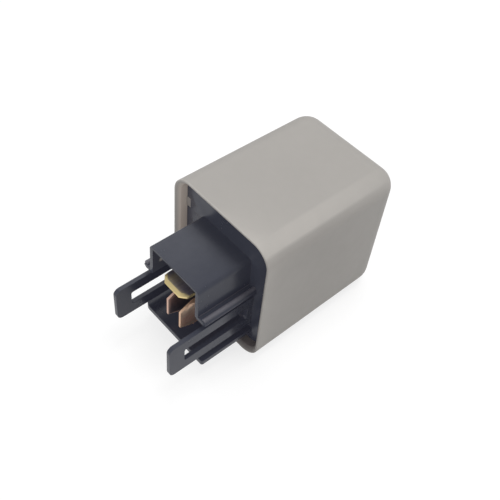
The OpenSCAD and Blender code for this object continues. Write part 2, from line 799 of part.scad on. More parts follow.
// Outline of the leaf: wide on the armature, then tapering to a round end at the contact
module leaf_outline(top) {
    wide = spring_w / 2;
    slim = spring_tip_w / 2;
    shoulder = -armature_rivet_drop - 3;
    polygon([
        [-wide, top], [wide, top], [wide, shoulder], [slim, shoulder - 3],
        [slim, -contact_drop], [-slim, -contact_drop], [-slim, shoulder - 3], [-wide, shoulder]]);
    translate([0, -contact_drop]) circle(slim);
}

module moving_contact() {
    color([0.86, 0.86, 0.84]) placed() leaned() translate([0, 0, -contact_drop]) {
        bar_y(contact_r, leaf_y - contact_h, leaf_y);
        bar_y(contact_shank_r, leaf_y - 0.1, leaf_y + spring_t + 0.1);
        bar_y(back_head_r, leaf_y + spring_t, leaf_y + spring_t + back_head);
    }
}

cover();
base();
supply_terminal();
load_terminal();
ground_terminal();
yoke();
core();
bobbin();
winding();
winding_tape();
coil_pin(-1, bobbin_y);  // coil_pin_left
coil_pin(1, back_y);  // coil_pin_right
coil_lead(-1);  // coil_lead_left
coil_lead(1);  // coil_lead_right
suppression_resistor();
yoke_rivets();
stop_strip();
fixed_contact();
armature();
armature_rivets();
contact_spring();
moving_contact();
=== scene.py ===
# %% [markdown]
# # A plug-in relay with three blade terminals
# The relay lies on one side of its grey cover, with its black connector towards us.
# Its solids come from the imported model, already in metres and in their places. This lesson
# gives them their finishes and makes those pieces again whose rounded edges show. The cover,
# the beads on the flanges and the contact spring are surfaces worked out with numpy. The
# black base and the blades are copies of their solids with softened edges.

# %% Load the frame
import bpy
import bmesh
import json
import math
import numpy as np
from mathutils import Matrix, Vector


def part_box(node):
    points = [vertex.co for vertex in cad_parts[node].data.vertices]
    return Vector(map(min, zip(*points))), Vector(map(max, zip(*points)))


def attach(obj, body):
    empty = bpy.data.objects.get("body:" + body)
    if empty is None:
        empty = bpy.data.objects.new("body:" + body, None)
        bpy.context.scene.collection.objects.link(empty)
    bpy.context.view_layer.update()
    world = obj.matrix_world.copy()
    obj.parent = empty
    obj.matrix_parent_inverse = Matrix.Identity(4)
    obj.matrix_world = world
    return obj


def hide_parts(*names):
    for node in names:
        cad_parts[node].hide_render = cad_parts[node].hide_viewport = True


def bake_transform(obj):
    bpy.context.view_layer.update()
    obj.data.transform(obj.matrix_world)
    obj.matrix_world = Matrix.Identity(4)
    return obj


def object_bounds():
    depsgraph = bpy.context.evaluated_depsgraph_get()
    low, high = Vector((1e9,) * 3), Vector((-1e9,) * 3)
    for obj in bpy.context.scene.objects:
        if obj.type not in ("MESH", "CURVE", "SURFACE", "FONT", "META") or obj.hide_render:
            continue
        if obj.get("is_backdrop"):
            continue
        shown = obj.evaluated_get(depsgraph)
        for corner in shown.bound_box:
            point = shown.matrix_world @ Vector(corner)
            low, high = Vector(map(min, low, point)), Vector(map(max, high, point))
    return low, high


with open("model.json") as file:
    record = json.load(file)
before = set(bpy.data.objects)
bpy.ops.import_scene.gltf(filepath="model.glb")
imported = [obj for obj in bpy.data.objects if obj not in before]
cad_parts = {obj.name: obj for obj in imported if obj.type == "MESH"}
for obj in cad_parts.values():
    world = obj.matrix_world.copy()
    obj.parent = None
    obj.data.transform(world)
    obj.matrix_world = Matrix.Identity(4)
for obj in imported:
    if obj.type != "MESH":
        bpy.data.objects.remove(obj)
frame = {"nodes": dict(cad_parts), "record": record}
cad_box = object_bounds()
MM = 0.001
nodes = frame["nodes"]
print("nodes:", len(nodes), "box in mm:", [[round(c / MM, 2) for c in p] for p in cad_box])

# %% [markdown]
# ## The camera
# The photograph was taken from above the connector, with the camera a little tilted. Its
# place was worked out from the straight edges of the cover, so the camera is set by numbers:
# where it stands, the way it looks and its roll. A look-at constraint would be shorter, but
# it would leave out the roll. FOCAL and IMAGE are in pixels of the photograph, SENSOR in
# millimetres, and SHIFT in shares of the picture's width.

# %% Camera
EYE = np.array([58.57, -61.37, 112.35]) * MM
AZIMUTH, ELEVATION, ROLL = math.radians(44.11), math.radians(49.34), math.radians(6.35)
FOCAL, IMAGE, SENSOR = 754.75, 500, 36.0
SHIFT = (0.0096, 0.0016)


def camera_axes(azimuth, elevation, roll):
    """Right, up and back vectors: forward from the two angles, then right and up turned by
    the roll about it."""
    forward = np.array([-math.sin(azimuth) * math.cos(elevation),
                        math.cos(azimuth) * math.cos(elevation), -math.sin(elevation)])
    level = np.cross(forward, [0, 0, 1])
    level /= np.linalg.norm(level)
    above = np.cross(level, forward)
    right = math.cos(roll) * level + math.sin(roll) * above
    return right, np.cross(right, forward), -forward


camera_data = bpy.data.cameras.new("photo_camera")
camera_data.sensor_width = SENSOR
camera_data.lens = SENSOR * FOCAL / IMAGE
camera_data.shift_x, camera_data.shift_y = SHIFT
camera_data.clip_start, camera_data.clip_end = 0.005, 10.0
camera = bpy.data.objects.new("photo_camera", camera_data)
axes = camera_axes(AZIMUTH, ELEVATION, ROLL)
camera.matrix_world = Matrix([[axes[0][i], axes[1][i], axes[2][i], EYE[i]] for i in range(3)]
                             + [[0, 0, 0, 1]])
bpy.context.scene.collection.objects.link(camera)
bpy.context.scene.camera = camera
print("lens", round(camera_data.lens, 2), "mm, camera", np.round(EYE / MM, 1), "mm")

# %% [markdown]
# ## Surfaces from grids of points
# Most pieces here are one closed grid: rows of points that run round the piece, and the rows
# themselves carried along a profile. One helper turns such a grid into a mesh, closes it
# where it comes back to itself, and welds the points that fall together.

# %% Grid helpers
WELD, SLIVER = 2e-7, 1e-7
dressed = []


def grid_mesh(grid):
    """Vertices and quads of a grid of points (rows, around, 3), closed around each row."""
    rows, around = grid.shape[:2]
    index = np.arange(rows * around).reshape(rows, around)
    above, below = index[:-1], index[1:]
    quads = np.stack([above, np.roll(above, -1, axis=1), np.roll(below, -1, axis=1), below], axis=-1)
    return grid.reshape(-1, 3), quads.reshape(-1, 4)


def add_piece(name, parts, body, slot, smooth_angle=40, stands_for=(), masks=None):
    """One object from several closed grids: welded, its normals turned outwards, shaded
    smooth up to the angle given, and riding on its body. masks are kept as attributes."""
    mesh = bpy.data.meshes.new(name)
    points = np.concatenate([p for p, q in parts])
    starts = np.cumsum([0] + [len(p) for p, q in parts[:-1]])
    quads = np.concatenate([q + s for (p, q), s in zip(parts, starts)])
    mesh.from_pydata(points.tolist(), [], quads.tolist())
    for label, mask in (masks or {}).items():
        values = np.zeros(len(points), np.float32)
        values[:mask.size] = mask.ravel()
        mesh.attributes.new(label, "FLOAT", "POINT").data.foreach_set("value", values)
    work = bmesh.new()
    work.from_mesh(mesh)
    bmesh.ops.remove_doubles(work, verts=work.verts, dist=WELD)
    bmesh.ops.dissolve_degenerate(work, edges=work.edges, dist=SLIVER)
    bmesh.ops.recalc_face_normals(work, faces=work.faces)
    work.to_mesh(mesh)
    work.free()
    return finish_piece(name, mesh, body, slot, smooth_angle, stands_for)


def finish_piece(name, mesh, body, slot, smooth_angle, stands_for):
    """The object of a finished mesh, with its material slot, its body and its CAD nodes. A
    piece that is given no body rides on none."""
    mesh.shade_smooth()
    mesh.set_sharp_from_angle(angle=math.radians(smooth_angle))
    piece = bpy.data.objects.new(name, mesh)
    bpy.context.scene.collection.objects.link(piece)
    if body:
        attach(piece, body)
    if stands_for:
        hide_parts(*stands_for)
    dressed.append((piece, slot))
    print(name, len(mesh.polygons), "faces")
    return piece


print("points closer than", WELD / MM, "mm are welded into one")

# %% [markdown]
# ## Rounded rectangles
# The cover, its ribs and the contact spring's section all have outlines with straight sides
# and round corners. Such an outline is the corner centres plus a radius times a direction, so
# one table of signs and directions serves every size. On a straight side the sign runs from
# one corner to the next, and the direction stays square to the side.

# %% Outline table
def outline_table(arc_steps=8, side_steps=(0.03, 0.35, 0.65, 0.97)):
    """Signs and directions round a rectangle: point = signs * half size + radius * direction.
    The directions are rounded, so that a straight side is exactly straight."""
    corners = np.array([[1, 1], [-1, 1], [-1, -1], [1, -1]], float)
    signs, ways = [], []
    for k in range(4):
        angles = (k + np.linspace(0, 1, arc_steps + 1)) * math.pi / 2
        signs.append(np.repeat(corners[k:k + 1], arc_steps + 1, axis=0))
        ways.append(np.stack([np.cos(angles), np.sin(angles)], axis=1))
        t = np.array(side_steps)[:, None]
        signs.append(corners[k] * (1 - t) + corners[(k + 1) % 4] * t)
        ways.append(np.repeat(ways[-1][-1:], len(side_steps), axis=0))
    return np.concatenate(signs), np.round(np.concatenate(ways), 12)


def swept_outline(table, centre, half, radius, depth, order):
    """Grid of outlines: row i has its own centre, half sizes to the corner centres, corner
    radius and depth. order says which axes the outline's two directions and the depth are."""
    signs, ways = table
    centre, half = np.atleast_2d(centre), np.atleast_2d(half)
    radius, depth = np.atleast_1d(radius), np.atleast_1d(depth)
    rows = max(len(centre), len(half), len(radius), len(depth))
    flat = (np.broadcast_to(centre, (rows, 2))[:, None] + signs[None] *
            np.broadcast_to(half, (rows, 2))[:, None] +
            np.broadcast_to(radius, rows)[:, None, None] * ways[None])
    deep = np.broadcast_to(np.broadcast_to(depth, rows)[:, None], flat.shape[:2])
    out = np.empty(flat.shape[:2] + (3,))
    out[..., order[0]], out[..., order[1]], out[..., order[2]] = flat[..., 0], flat[..., 1], deep
    return out * MM


def quarter(steps, start, end):
    """Cosine and sine of angles from start to end, in degrees."""
    t = np.radians(np.linspace(start, end, steps + 1))
    return np.cos(t), np.sin(t)


print("points round a plain outline:", len(outline_table()[0]))

# %% [markdown]
# ## The cover
# The cover is one deep moulding: straight walls with a little draft, round edges and a round
# closed end. A bevelled cube could look like it, but the draft and the wall come out exactly
# when the outline above is carried along one profile: from the middle of the closed end,
# round its edge, along the outside to the rim, over the rim and back along the inside. The
# lip of the rim is round, and a lead-in chamfer, with its corners broken, helps the base in.

# %% Cover
RIM_Y = -7.35
WIDTH, HEIGHT, LENGTH, WALL = 23.1, 28.0, 30.3, 1.0
EDGE_R, DRAFT, LEAD_IN = 3.9, 0.2, 0.65
LIP_R, BREAK, BREAK_IN = 0.14, 0.05, 0.04
END_R = EDGE_R - DRAFT
END_Y = LENGTH - END_R
MID_Z = HEIGHT / 2
COVER_TABLE = outline_table(20)


def wall_radius(y, inset):
    """Edge radius at depth y: it shrinks with the draft, less the inset of the inner wall."""
    return EDGE_R - DRAFT * y / END_Y - inset


def cover_profile():
    """Rows of (depth, radius, share of the half size) from the closed end round to the inside."""
    rows = [(LENGTH, 0.0, s) for s in (0.0, 0.5, 0.94)]
    c, s = quarter(10, 90, 0)
    rows += [(END_Y + END_R * b, END_R * a, 1.0) for a, b in zip(c, s)]
    rows += [(y, wall_radius(y, 0), 1.0) for y in np.linspace(END_Y - 0.3, LIP_R + 0.25, 16)]
    c, s = quarter(4, 0, -90)
    rows += [(LIP_R + LIP_R * b, wall_radius(0, LIP_R) + LIP_R * a, 1.0) for a, b in zip(c, s)]
    rim = wall_radius(0, WALL) + LEAD_IN
    rows += [(0.0, rim + BREAK, 1.0), (BREAK_IN, rim - BREAK_IN, 1.0)]
    rows += [(LEAD_IN - BREAK, rim - LEAD_IN + BREAK, 1.0)]
    rows += [(y, wall_radius(y, WALL), 1.0) for y in np.linspace(LEAD_IN + BREAK, END_Y, 10)]
    c, s = quarter(5, 0, 90)
    inner = END_R - WALL
    rows += [(END_Y + inner * b, inner * a, 1.0) for a, b in zip(c, s)][1:]
    rows += [(LENGTH - WALL, 0.0, s) for s in (0.94, 0.5, 0.0)]
    return np.array(rows)


def cover_grid():
    """The outline carried along the profile: rows that close to a point at both ends."""
    rows = cover_profile()
    half = np.array([WIDTH / 2 - EDGE_R, MID_Z - EDGE_R]) * rows[:, 2:3]
    return swept_outline(COVER_TABLE, (0, MID_Z), half, rows[:, 1], rows[:, 0] + RIM_Y, (0, 2, 1))


print("cover:", cover_grid().shape[:2], "points in rows and round")

# %% [markdown]
# ## Ribs inside the cover
# Four guide ribs on the side walls hold the base's edge, and four short stops above and below
# limit how far it goes in. Each is a small block with round edges: again an outline that is
# carried along a profile, this time over two rounded rims.

# %% Ribs
RIB_RISE, RIB_REACH, RIB_ROOT, RIB_LOW, RIB_HIGH = 6.9, 1.1, 0.6, 0.95, 1.1
RIB_STARTS, RIB_SHORT, STOP_STARTS, STOP_ENDS = 1.85, 4, 4.9, 8.9
STOP_APART, STOP_HALF = 6, 0.6


def soft_block(low, high, edge=0.15):
    """A small block with round edges: an outline carried over two rounded rims."""
    low, high = np.array(low, float), np.array(high, float)
    half = (high - low)[:2] / 2 - edge
    c, s = quarter(3, 90, 0)
    top = [(high[2] - edge + edge * b, edge * a, 1.0) for a, b in zip(c, s)]
    bottom = [(low[2] + high[2] - z, r, 1.0) for z, r, k in top][::-1]
    rows = np.array([(high[2], 0, 0)] + top + bottom + [(low[2], 0, 0)])
    middle = (low + high)[:2] / 2
    table = outline_table(3, (0.1, 0.9))
    return swept_outline(table, middle, half * rows[:, 2:3], rows[:, 1], rows[:, 0], (0, 1, 2))


ribs = []
for side in (-1, 1):
    for rise in (-RIB_RISE, RIB_RISE):
        wall_x = side * (WIDTH / 2 - WALL)
        ends = (wall_x - side * RIB_REACH, wall_x + side * RIB_ROOT)
        ribs.append(soft_block((min(ends), RIM_Y + RIB_STARTS, MID_Z + rise - RIB_LOW),
                               (max(ends), RIM_Y + END_Y - RIB_SHORT, MID_Z + rise + RIB_HIGH)))
    for step in (-STOP_APART, STOP_APART):
        wall_z = MID_Z + side * (HEIGHT / 2 - WALL)
        ribs.append(soft_block((step - STOP_HALF, RIM_Y + STOP_STARTS, wall_z - STOP_HALF),
                               (step + STOP_HALF, RIM_Y + STOP_ENDS, wall_z + STOP_HALF), 0.1))
print("ribs:", len(ribs))

# %% [markdown]
# ## Painted highlight, painted light and painted shade on the cover
# The upper long edges and the rim get a painted highlight, stronger on the right and higher up. The left
# inner wall beside the mouth gets painted light, an emission that stands in for light coming in. The lower
# part of the mouth, the ribs inside and a band just below the highlight get painted shade. These could be
# painted by hand, but the surface is known, so each mask is worked out from where a point lies: its tilt
# round the outline in degrees from straight up, its depth behind the rim and its height, both in mm.

# %% Cover masks
# Tilts, shares and fades of the painted highlight, the painted light on the inner wall and the painted
# shade.
HIGHLIGHT_STARTS, HIGHLIGHT_STOPS, HIGHLIGHT_FALL = 8, 51, 5
SHADE_BAND, SHADE_BAND_STARTS, SHADE_BAND_STOPS, SHADE_BAND_FALL = 0.2, 48, 86, 16
END_HIGHLIGHT, LIP_HIGHLIGHT, RIM_FADE, PAINTED_GLOW_FADE = 0.1, 0.7, 2.5, 3.0
SHADE_TOP, SHADE_FADE, RIB_SHADE = 5.5, 3.0, 0.55


def crest_masks(tilt, across):
    """Painted highlight and a band of painted shade round the outline, at a tilt and at -1 left to 1 right.
    The highlight sets in over 8 degrees, grows slowly and stops from 46 to 51 degrees; on the left it is a
    fifth. The shade band lies below it on the right, from 48 degrees, and fades out at 86."""
    stop = np.clip((HIGHLIGHT_STOPS - tilt) / HIGHLIGHT_FALL, 0, 1)
    highlight_mask = np.clip(tilt / HIGHLIGHT_STARTS, 0, 1) * (0.45 + 0.01 * tilt) * stop * (0.6 + 0.4 * across)
    fade = np.clip((SHADE_BAND_STOPS - tilt) / SHADE_BAND_FALL, 0, 1)
    return highlight_mask, SHADE_BAND * np.clip((tilt - SHADE_BAND_STARTS) / HIGHLIGHT_FALL, 0, 1) * fade * (across > 0)


def cover_masks():
    """The first mask, edge, is 1 for a painted highlight: the long edges, less towards the closed end; a
    faint one round that end; the lip, and a fall over 2.5 mm behind it on the right; all less near the
    floor.
    The second is painted light on the left inner wall at the mouth, an emission in the finish, and falls
    over
    3 mm inwards. The third is painted shade: the band below the long edge and the lower part of the mouth,
    full up to 2.5 mm and none from 5.5 mm, deepest on the inner wall and least on the outer lip."""
    rows, (signs, ways) = cover_profile(), COVER_TABLE
    depth, radius, across = rows[:, 0], rows[:, 1], signs[:, 0]
    outer = np.arange(len(rows)) <= np.argmin(depth)
    lift = np.clip((depth - END_Y) / END_R, 0, 1)
    along = (1 - (depth / LENGTH) ** 2) * np.sqrt(1 - lift ** 2)
    highlight_mask, trace = crest_masks(np.degrees(np.arctan2(np.abs(ways[:, 0]), ways[:, 1])), across)
    ends = np.maximum(END_HIGHLIGHT * lift * np.sqrt(1 - lift ** 2), LIP_HIGHLIGHT * (depth < LIP_R + 0.01))
    rim = np.exp(-np.maximum(depth - 0.3, 0) / RIM_FADE)[:, None] * np.clip(0.25 + 0.75 * across, 0, 1)
    height = cover_grid()[..., 2] / MM
    # The painted highlight: long edges, rim and lip, less near the floor.
    edge = np.maximum(np.maximum(highlight_mask * along[:, None], rim), ends[:, None]) * outer[:, None]
    edge *= 0.3 + 0.7 * height / HEIGHT
    # Painted light: an emission on the left inner wall near the mouth.
    inner = np.exp(-depth / PAINTED_GLOW_FADE) * (depth > 0.5) * ~outer
    glow = np.clip(-ways[:, 0], 0, 1) * inner[:, None]
    # Painted shade low in the mouth and in a band below the highlight.
    inward = np.clip(0.3 + (EDGE_R - radius) / WALL * 0.7, 0, 1) * (~outer | (depth < 0.1))
    soil = np.clip((SHADE_TOP - height) / SHADE_FADE, 0, 1) * inward[:, None]
    soil += trace * (along * outer)[:, None]
    return {"edge": edge * (1 - soil), "glow": glow * (1 - soil), "soil": soil}


masks = cover_masks()
print("largest:", {label: round(float(mask.max()), 2) for label, mask in masks.items()})
# The ribs inside the cover get painted shade at 0.55.
masks["soil"] = np.append(masks["soil"], np.full(sum(rib[..., 0].size for rib in ribs), RIB_SHADE))
add_piece("cover_shell", [grid_mesh(cover_grid())] + [grid_mesh(rib) for rib in ribs],
          "relay_body", "cover_plastic", 30, ("cover",), masks)

# %% [markdown]
# ## The black base
# Floor, hood, tongue and arms are one moulding, and their solid already has the right shape.
# What it lacks is the soft edge that every moulded piece has and that catches the light. Its
# mesh comes as loose triangles, so a copy is welded, its flat areas become whole faces, and a
# Bevel modifier rounds the edges that are left.

# %% Base
NEAR, FLAT, SHARP, SEGMENTS = 1e-6, math.radians(0.6), math.radians(28), 2


def softened_copy(node, name, edge, body, slot):
    """A welded copy of a node's mesh with whole flat faces and its sharp edges rounded."""
    work = bmesh.new()
    work.from_mesh(nodes[node].data)
    bmesh.ops.remove_doubles(work, verts=work.verts, dist=NEAR)
    bmesh.ops.dissolve_limit(work, angle_limit=FLAT, verts=work.verts, edges=work.edges)
    mesh = bpy.data.meshes.new(name)
    work.to_mesh(mesh)
    work.free()
    piece = finish_piece(name, mesh, body, slot, 50, (node,))
    bevel = piece.modifiers.new("soft_edges", "BEVEL")
    bevel.width = edge * MM
    bevel.segments = SEGMENTS
    bevel.limit_method = "ANGLE"
    bevel.angle_limit = SHARP
    bevel.harden_normals = False
    bevel.miter_outer = "MITER_ARC"
    return piece


softened_copy("base", "base_moulding", 0.12, "relay_body", "base_plastic")

# %% [markdown]
# ## The beads on the flanges
# Each flange of the hood carries a low round bead lengthwise, which guides the relay into its
# socket, and beside the wall a fine raised line, where the two halves of the mould met. Both
# are one surface: a height over the width of the flange, carried along its length. Distances
# across are in mm from the hood's middle, heights in mm above the flange's foot.

# %% Flange beads
HOOD_MIDDLE, FLANGE_FOOT, HOOD_FRONT, BASE_FACE = -0.15, MID_Z + 0.05, RIM_Y - 8.9, RIM_Y + 1.9
FLANGE_IN, FLANGE_OUT, FLANGE_LOW, FLANGE_TOP, FLANGE_SLOPE = 6.2, 8.0, 0.5, 0.70, 0.11
LINE_AT, LINE_WIDTH, LINE_HIGH = 6.30, 0.06, 0.22
BEAD_AT, BEAD_HALF, BEAD_HIGH = 7.50, 0.48, 0.45


def bead_shape(x):
    """Bell of the mould line and upper half circle of the bead, both 0 to 1, at distance x
    from the hood's middle."""
    line = np.exp(-((x - LINE_AT) / LINE_WIDTH) ** 2)
    return line, np.sqrt(np.clip(1 - ((x - BEAD_AT) / BEAD_HALF) ** 2, 0, 1))


def bead_height(x):
    """Top of the flange: a gentle slope, plus the line and the bead by their own heights."""
    line, bead = bead_shape(x)
    return FLANGE_TOP + FLANGE_SLOPE * (x - FLANGE_IN) + LINE_HIGH * line + BEAD_HIGH * bead


def flange_bead(side):
    """Rows along the length of a closed outline: the height over the width, then back below.
    A row of size 0 closes each end flat. The front row is a little smaller, for a soft edge."""
    across = np.linspace(FLANGE_IN, FLANGE_OUT, 90)
    top = np.stack([across, bead_height(across)], axis=1)
    bottom = np.array([[FLANGE_OUT, FLANGE_LOW], [FLANGE_IN, FLANGE_LOW]])
    outline = np.concatenate([top, bottom])
    length = np.array([HOOD_FRONT + 0.12, HOOD_FRONT + 0.12, HOOD_FRONT + 0.2, BASE_FACE, BASE_FACE])
    size = np.array([0.0, 0.9, 1.0, 1.0, 0.0])[:, None]
    middle = np.array([7.0, 0.6])
    flat = middle + (outline[None] - middle) * size[..., None]
    grid = np.empty(flat.shape[:2] + (3,))
    grid[..., 0] = HOOD_MIDDLE + side * flat[..., 0]
    grid[..., 1] = length[:, None]
    grid[..., 2] = FLANGE_FOOT + flat[..., 1]
    return grid * MM


def bead_highlight(grid):
    """Attribute edge: a painted highlight on the crest of the bead and of the line."""
    line, bead = bead_shape(np.abs(grid[..., 0] / MM - HOOD_MIDDLE))
    return np.maximum(line, bead)


# The crests of the beads and of the mould line get a painted highlight.
bead_grids = [flange_bead(1), flange_bead(-1)]
add_piece("flange_beads", [grid_mesh(g) for g in bead_grids], "relay_body", "base_plastic", 55,
          masks={"edge": np.stack([bead_highlight(g) for g in bead_grids])})
print("bead tops at", round(float(bead_height(BEAD_AT)), 2), "mm")

# %% [markdown]
# ## The blades
# The blades are stamped from strip. The punch rounds one edge a little and the burr is
# brushed off the other, so no edge is sharp. The same softened copy does that, finer. The
# level blade's tip is pressed to a steeper bevel, so its upper front edge is lowered.

# %% Blades
TIP_DROP, TIP_DEPTH = 0.22, 0.1
blades = {name: softened_copy(name + "_terminal", name + "_blade", 0.05, "relay_body", slot)
          for name, slot in (("supply", "terminal_brass"), ("load", "terminal_copper"),
                             ("ground", "terminal_copper"))}


def dip_tip(piece, drop, depth):
    """Lowers the upper front edge of a level blade: its vertices within depth of the tip and
    above the middle of the thickness go down by drop, both in mm."""
    mesh = piece.data
    points = np.empty(len(mesh.vertices) * 3, np.float32)
    mesh.vertices.foreach_get("co", points)
    points = points.reshape(-1, 3)
    tip = points[:, 1] < points[:, 1].min() + depth * MM
    upper = tip & (points[:, 2] > (points[tip, 2].max() + points[tip, 2].min()) / 2)
    points[upper, 2] -= drop * MM
    mesh.vertices.foreach_set("co", points.ravel())
    mesh.update()
    print(piece.name, "tip points lowered:", int(upper.sum()))


dip_tip(blades["supply"], TIP_DROP, TIP_DEPTH)

# %% [markdown]
# ## The contact spring
# A bronze leaf, riveted on the yoke, is bent over the hinge and carries the moving contact at
# its round tip. On a rigid leaf the flat on the yoke would lift when the armature rocks. Here
# the leaf is one grid along its centre line; it rides on no body, and its place is baked into
# its points.

# %% Contact spring
LEAF_T, LEAF_EDGE, BEND_R, LEAN, TIP_R = 0.25, 0.05, 0.725, math.radians(3.7), 2.2
TAPER_STARTS, TAPER_STOPS = 6.95, 9.95
leaf_low, leaf_high = (np.array(corner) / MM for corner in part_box("contact_spring"))
BEND_Z = leaf_high[2] - LEAF_T / 2 - BEND_R
LEG = (BEND_Z + (BEND_R - LEAF_T / 2) * math.sin(LEAN) - leaf_low[2]) / math.cos(LEAN)
BEND_Y = leaf_high[1] - (BEND_R + LEAF_T / 2) * math.cos(LEAN) - LEG * math.sin(LEAN)


def leaf_line():
    """Rows of (y, z, angle of the normal, half width). Level on the yoke; then bend centre +
    radius * (cos a, sin a) from 90 degrees to the lean; then straight down. The half width is
    full, tapers over 3 mm, and at the tip is the square root of r squared less d squared."""
    flat = np.linspace(leaf_low[1], BEND_Y, 8)
    turn = np.linspace(math.pi / 2, LEAN, 14)[1:]
    tip = TIP_R * np.sin(np.linspace(0, math.pi / 2, 14))
    down = np.concatenate([np.linspace(0, TAPER_STARTS, 8)[1:],
                           np.linspace(TAPER_STARTS, TAPER_STOPS, 6)[1:], LEG - TIP_R + tip])
    taper = np.interp(down, [TAPER_STARTS, TAPER_STOPS], [leaf_high[0], TIP_R])
    round_tip = np.sqrt(np.clip(TIP_R ** 2 - (down - LEG + TIP_R) ** 2, 0, None))
    half = np.where(down > LEG - TIP_R, round_tip, taper)
    y = [flat, BEND_Y + BEND_R * np.cos(turn), BEND_Y + BEND_R * math.cos(LEAN) + down * math.sin(LEAN)]
    z = [0 * flat + BEND_Z + BEND_R, BEND_Z + BEND_R * np.sin(turn),
         BEND_Z + BEND_R * math.sin(LEAN) - down * math.cos(LEAN)]
    angle = [0 * flat + math.pi / 2, turn, 0 * down + LEAN]
    wide = [np.full(len(flat) + len(turn), leaf_high[0]), half]
    return np.stack([np.concatenate(part) for part in (y, z, angle, wide)], axis=1)


def leaf_grid():
    """A thin rectangle with rounded edges, square to the line. A row of size 0 closes each end."""
    rows = leaf_line()
    rows = np.concatenate([rows[:1], rows, rows[-1:]])
    size = np.ones(len(rows))
    size[[0, -1]] = 0
    signs, ways = outline_table(3, (0.1, 0.9))
    across = signs[:, 0] * np.maximum(rows[:, 3:] - LEAF_EDGE, 0) + LEAF_EDGE * ways[:, 0]
    thick = (signs[:, 1] * (LEAF_T / 2 - LEAF_EDGE) + LEAF_EDGE * ways[:, 1])[None] * size[:, None]
    y = rows[:, :1] + thick * np.cos(rows[:, 2:3])
    z = rows[:, 1:2] + thick * np.sin(rows[:, 2:3])
    return np.stack([across * size[:, None], y, z], axis=-1) * MM


spring = add_piece("leaf_spring", [grid_mesh(leaf_grid())], None, "spring_bronze", 40, ("contact_spring",))
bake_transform(spring)
print("leaf: leg of", round(float(LEG), 2), "mm below its bend")

# %% [markdown]
# ## Small helpers for nodes
# A finish is a graph of shader nodes. A few helpers keep the graphs readable: each adds one
# node, sets or links its inputs and gives back its output.

# %% Node helpers
def feed(tree, value, socket):
    """Links a socket, or sets a plain number or colour."""
    if isinstance(value, bpy.types.NodeSocket):
        tree.links.new(value, socket)
    else:
        socket.default_value = (*value, 1.0) if isinstance(value, tuple) and len(value) == 3 and \
            socket.type == "RGBA" else value


def group_tree(name, inputs, outputs):
    """A new shader group with its sockets, and its input and output nodes."""
    tree = bpy.data.node_groups.new(name, "ShaderNodeTree")
    kinds = {"f": "NodeSocketFloat", "v": "NodeSocketVector", "c": "NodeSocketColor"}
    for label, kind, value in inputs:
        socket = tree.interface.new_socket(label, in_out="INPUT", socket_type=kinds[kind])
        socket.default_value = value
    for label, kind in outputs:
        tree.interface.new_socket(label, in_out="OUTPUT", socket_type=kinds[kind])
    return tree, tree.nodes.new("NodeGroupInput").outputs, tree.nodes.new("NodeGroupOutput").inputs


def place_group(tree, group, **values):
    """One use of a group, with its own values."""
    node = tree.nodes.new("ShaderNodeGroup")
    node.node_tree = group
    for label, value in values.items():
        feed(tree, value, node.inputs[label.replace("_", " ")])
    return node.outputs


def noise(tree, scale, detail, rough, where):
    """Noise from 0 to 1 at the place given."""
    node = tree.nodes.new("ShaderNodeTexNoise")
    for label, value in (("Scale", scale), ("Detail", detail), ("Roughness", rough), ("Vector", where)):
        feed(tree, value, node.inputs[label])
    return node.outputs["Fac"]


def ramp(tree, value, low, high, to_low=0.0, to_high=1.0):
    """value from low..high to to_low..to_high, clamped."""
    node = tree.nodes.new("ShaderNodeMapRange")
    for label, number in (("Value", value), ("From Min", low), ("From Max", high),
                          ("To Min", to_low), ("To Max", to_high)):
        feed(tree, number, node.inputs[label])
    return node.outputs["Result"]


def mix_colour(tree, factor, a, b):
    """Colour a at factor 0, colour b at factor 1."""
    node = tree.nodes.new("ShaderNodeMix")
    node.data_type = "RGBA"
    for value, socket in ((factor, node.inputs[0]), (a, node.inputs[6]), (b, node.inputs[7])):
        feed(tree, value, socket)
    return node.outputs[2]


def math_node(tree, kind, a, b=0.0):
    """One operation on two numbers; kind says which."""
    node = tree.nodes.new("ShaderNodeMath")
    node.operation = kind
    feed(tree, a, node.inputs[0])
    feed(tree, b, node.inputs[1])
    return node.outputs[0]


def vector_node(tree, kind, a, b):
    """The same for two vectors. A dot product gives a number."""
    node = tree.nodes.new("ShaderNodeVectorMath")
    node.operation = kind
    feed(tree, a, node.inputs[0])
    feed(tree, b, node.inputs[1])
    return node.outputs["Value" if kind == "DOT_PRODUCT" else "Vector"]


def object_place(tree):
    """Place on the piece, in its own coordinates."""
    return tree.nodes.new("ShaderNodeTexCoord").outputs["Object"]


print("shader groups before the finishes:", len(bpy.data.node_groups))

# %% [markdown]
# ## Grain and drift
# No moulded or rolled surface is quite even. Two things show: a fine grain that breaks up the
# gloss, and a slow drift of the tone over several millimetres. Both come from noise in object
# coordinates, so they stay on the piece, and both are groups that every finish uses.

# %% Grain and drift
def make_grain():
    """Height of a fine grain: noise in stretched coordinates, a long stretch gives lines."""
    tree, inside, outside = group_tree(
        "fine_grain", [("Scale", "f", 2500.0), ("Stretch", "v", (1, 1, 1))], [("Height", "f")])
    where = vector_node(tree, "MULTIPLY", object_place(tree), inside["Stretch"])
    feed(tree, noise(tree, inside["Scale"], 2.0, 0.6, where), outside["Height"])
    return tree


